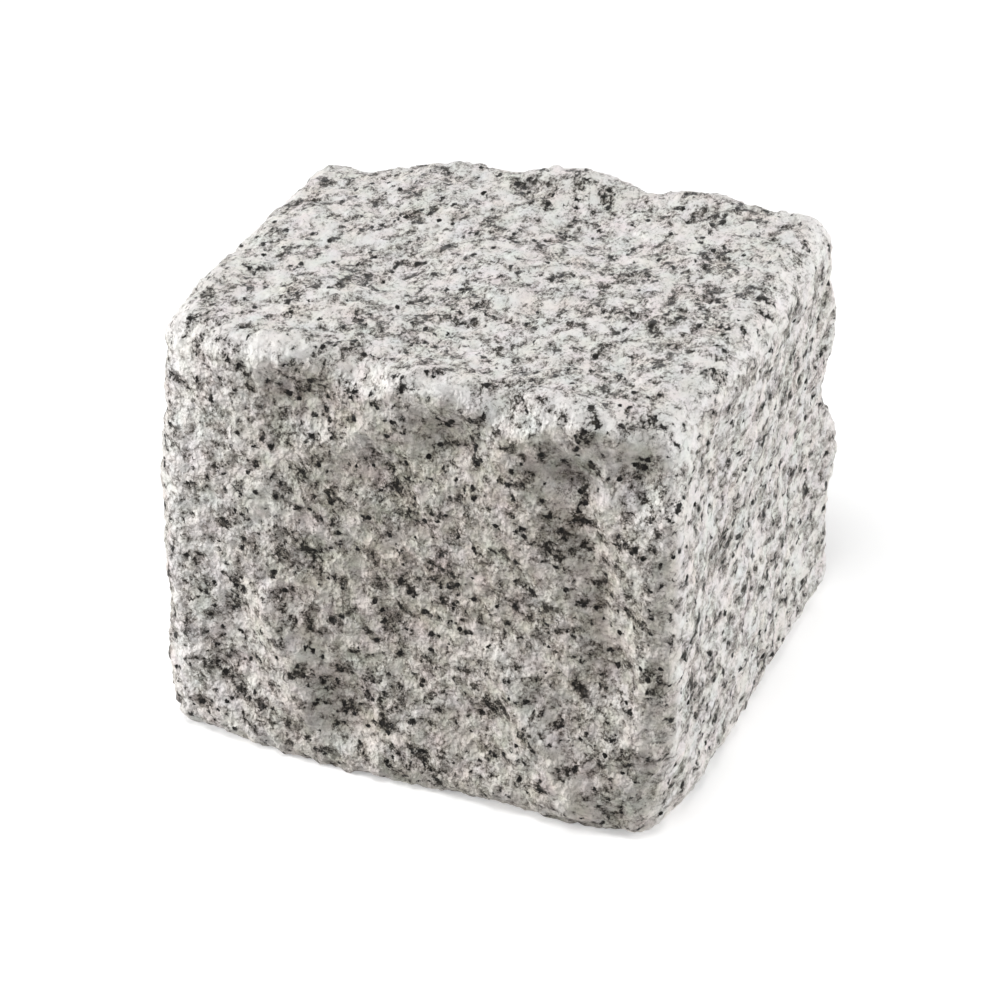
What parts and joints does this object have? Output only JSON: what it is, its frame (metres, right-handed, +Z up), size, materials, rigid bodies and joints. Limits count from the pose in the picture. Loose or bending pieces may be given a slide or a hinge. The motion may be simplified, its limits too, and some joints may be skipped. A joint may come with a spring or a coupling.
{
  "type": "granite paving sett",
  "caption": "Split and tumbled granite paving sett: a rough stone cube with worn edges and a flat bed, laid side by side with others as paving or edging.",
  "frame": {"origin": "The middle of the bed, the flat face that the sett stands on, at the bottom centre of its bounding box.", "axes": "+Z is up, out of the wearing face. +X is to the right along the front and is the longest side. +Y runs from the front to the back."},
  "size_m": [0.1088, 0.102, 0.0861],
  "materials": {
    "granite": "split and tumbled, matt and rough, speckled light grey"
  },
  "bodies": {
    "root": {"sett": "granite"}
  },
  "joints": []
}
